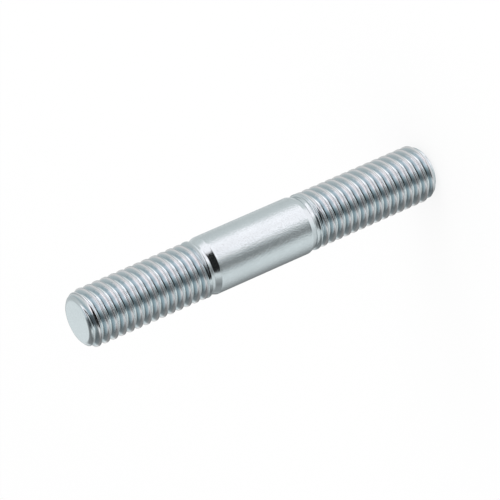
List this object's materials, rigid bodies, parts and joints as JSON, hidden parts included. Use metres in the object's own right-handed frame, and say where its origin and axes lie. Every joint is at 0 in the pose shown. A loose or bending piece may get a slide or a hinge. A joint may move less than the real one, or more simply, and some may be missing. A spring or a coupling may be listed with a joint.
{
  "type": "double ended stud",
  "caption": "Zinc-plated steel stud with a right-hand thread on each end, a plain full-diameter shank between them, conical shoulders and chamfered flat ends; it joins a tapped hole to a nut.",
  "frame": {"origin": "centre of the flat face of the nut end, on which the stud stands", "axes": "+Z along the stud's axis, from the nut end up to the tap end; X and Y across it"},
  "size_m": [0.008, 0.008, 0.0548],
  "materials": {
    "zinc_plated_steel": "bright zinc plating over rolled threads and a turned shank"
  },
  "bodies": {
    "root": {"stud": "zinc_plated_steel"}
  },
  "joints": []
}
